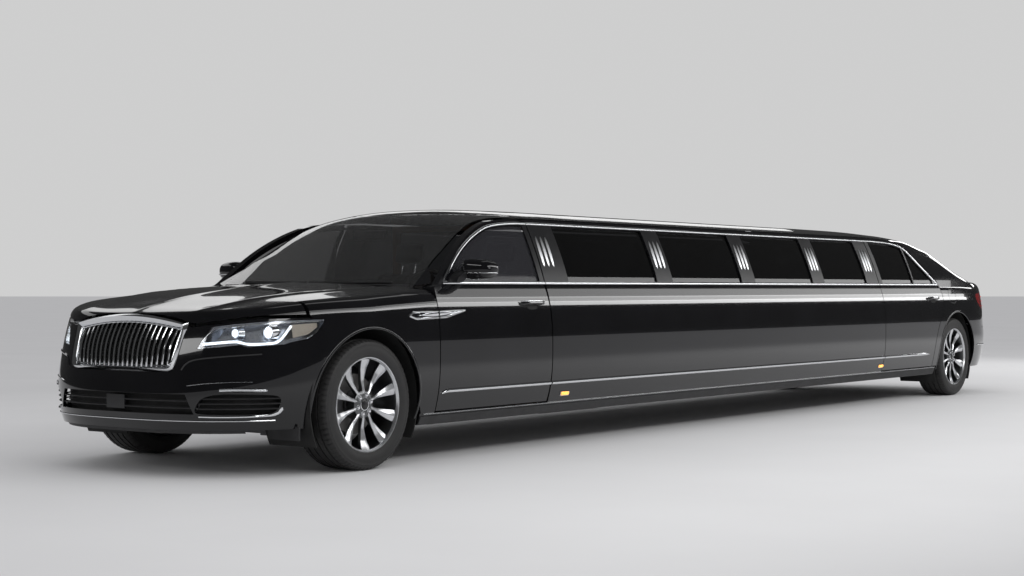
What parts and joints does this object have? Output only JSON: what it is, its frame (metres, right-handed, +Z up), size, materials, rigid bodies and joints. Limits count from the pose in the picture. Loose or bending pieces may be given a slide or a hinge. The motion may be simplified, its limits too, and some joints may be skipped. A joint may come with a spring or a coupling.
{
  "type": "stretch limousine",
  "caption": "Stretched luxury sedan with four opening doors, hood and trunk lid, pillared side windows, steered front wheels and a hollow lounge cabin.",
  "frame": {"origin": "on the ground, at the middle of the car's overall box", "axes": "front towards -Y, vehicle's left towards +X, +Z up"},
  "size_m": [2.192, 10.1779, 1.488],
  "materials": {
    "black_paint": "high gloss clear coat",
    "bright_trim": "polished",
    "machined_alloy": "machined and lacquered",
    "tyre_rubber": "matt with moulded lettering left off",
    "tinted_glass": "privacy tint",
    "clear_glass": "light tint",
    "lamp_clear": "clear lens",
    "lamp_red": "red lens",
    "underbody": "satin underseal",
    "cast_parts": "as cast",
    "engine_cover": "cast",
    "exhaust_steel": "weathered",
    "cabin_plastic": "grained",
    "black_leather": "grained, stitched",
    "walnut": "lacquered"
  },
  "bodies": {
    "body": {"floor_pan": "underbody", "front_subframe": "underbody", "engine_block": "engine_cover", "rear_axle": "cast_parts", "exhaust_system": "exhaust_steel", "front_bumper": "black_paint", "grille": "bright_trim", "headlamps": "lamp_clear", "front_fenders": "black_paint", "windshield": "clear_glass", "roof": "black_paint", "left_body_side": "black_paint", "right_body_side": "black_paint", "side_glass": "tinted_glass", "rear_quarters": "black_paint", "rear_window": "tinted_glass", "rear_bumper": "black_paint", "tail_lamps": "lamp_red", "dashboard": "cabin_plastic", "steering_wheel": "cabin_plastic", "front_seats": "black_leather", "lounge_seats": "black_leather", "bar_and_partition": "walnut"},
    "hood": {"hood": "black_paint"},
    "trunk_lid": {"trunk_lid": "black_paint"},
    "left_front_door": {"left_front_door": "black_paint", "left_front_door_glass": "tinted_glass", "left_mirror": "black_paint"},
    "left_rear_door": {"left_rear_door": "black_paint", "left_rear_door_glass": "tinted_glass"},
    "left_front_knuckle": {"left_front_knuckle": "cast_parts"},
    "left_front_wheel": {"left_front_tyre": "tyre_rubber", "left_front_rim": "machined_alloy"},
    "left_rear_wheel": {"left_rear_tyre": "tyre_rubber", "left_rear_rim": "machined_alloy"},
    "right_front_door": {"right_front_door": "black_paint", "right_front_door_glass": "tinted_glass", "right_mirror": "black_paint"},
    "right_rear_door": {"right_rear_door": "black_paint", "right_rear_door_glass": "tinted_glass"},
    "right_front_knuckle": {"right_front_knuckle": "cast_parts"},
    "right_front_wheel": {"right_front_tyre": "tyre_rubber", "right_front_rim": "machined_alloy"},
    "right_rear_wheel": {"right_rear_tyre": "tyre_rubber", "right_rear_rim": "machined_alloy"}
  },
  "joints": [
    {"name": "left_steer", "type": "hinge", "parent": "body", "child": "left_front_knuckle", "pos_m": [0.745, -4.13, 0.353], "axis": [0, 0, 1], "range_deg": [-32, 32]},
    {"name": "left_front_wheel_spin", "type": "hinge", "parent": "left_front_knuckle", "child": "left_front_wheel", "pos_m": [0.803, -4.13, 0.353], "axis": [1, 0, 0], "continuous": true},
    {"name": "left_rear_wheel_spin", "type": "hinge", "parent": "body", "child": "left_rear_wheel", "pos_m": [0.803, 3.97, 0.353], "axis": [1, 0, 0], "continuous": true},
    {"name": "left_front_door_hinge", "type": "hinge", "parent": "body", "child": "left_front_door", "pos_m": [0.94, -3.497, 0.62], "axis": [0, 0, -1], "range_deg": [0, 65]},
    {"name": "left_rear_door_hinge", "type": "hinge", "parent": "body", "child": "left_rear_door", "pos_m": [0.94, 2.46, 0.62], "axis": [0, 0, -1], "range_deg": [0, 65]},
    {"name": "right_steer", "type": "hinge", "parent": "body", "child": "right_front_knuckle", "pos_m": [-0.745, -4.13, 0.353], "axis": [0, 0, 1], "range_deg": [-32, 32]},
    {"name": "right_front_wheel_spin", "type": "hinge", "parent": "right_front_knuckle", "child": "right_front_wheel", "pos_m": [-0.803, -4.13, 0.353], "axis": [1, 0, 0], "continuous": true},
    {"name": "right_rear_wheel_spin", "type": "hinge", "parent": "body", "child": "right_rear_wheel", "pos_m": [-0.803, 3.97, 0.353], "axis": [1, 0, 0], "continuous": true},
    {"name": "right_front_door_hinge", "type": "hinge", "parent": "body", "child": "right_front_door", "pos_m": [-0.94, -3.497, 0.62], "axis": [0, 0, 1], "range_deg": [0, 65]},
    {"name": "right_rear_door_hinge", "type": "hinge", "parent": "body", "child": "right_rear_door", "pos_m": [-0.94, 2.46, 0.62], "axis": [0, 0, 1], "range_deg": [0, 65]},
    {"name": "hood_hinge", "type": "hinge", "parent": "body", "child": "hood", "pos_m": [0, -3.5498, 0.96], "axis": [-1, 0, 0], "range_deg": [0, 50]},
    {"name": "trunk_hinge", "type": "hinge", "parent": "body", "child": "trunk_lid", "pos_m": [0, 4.542, 1.045], "axis": [1, 0, 0], "range_deg": [0, 75]}
  ],
  "couplings": [
    {"joint": "right_steer", "follows": "left_steer", "ratio": 1}
  ]
}
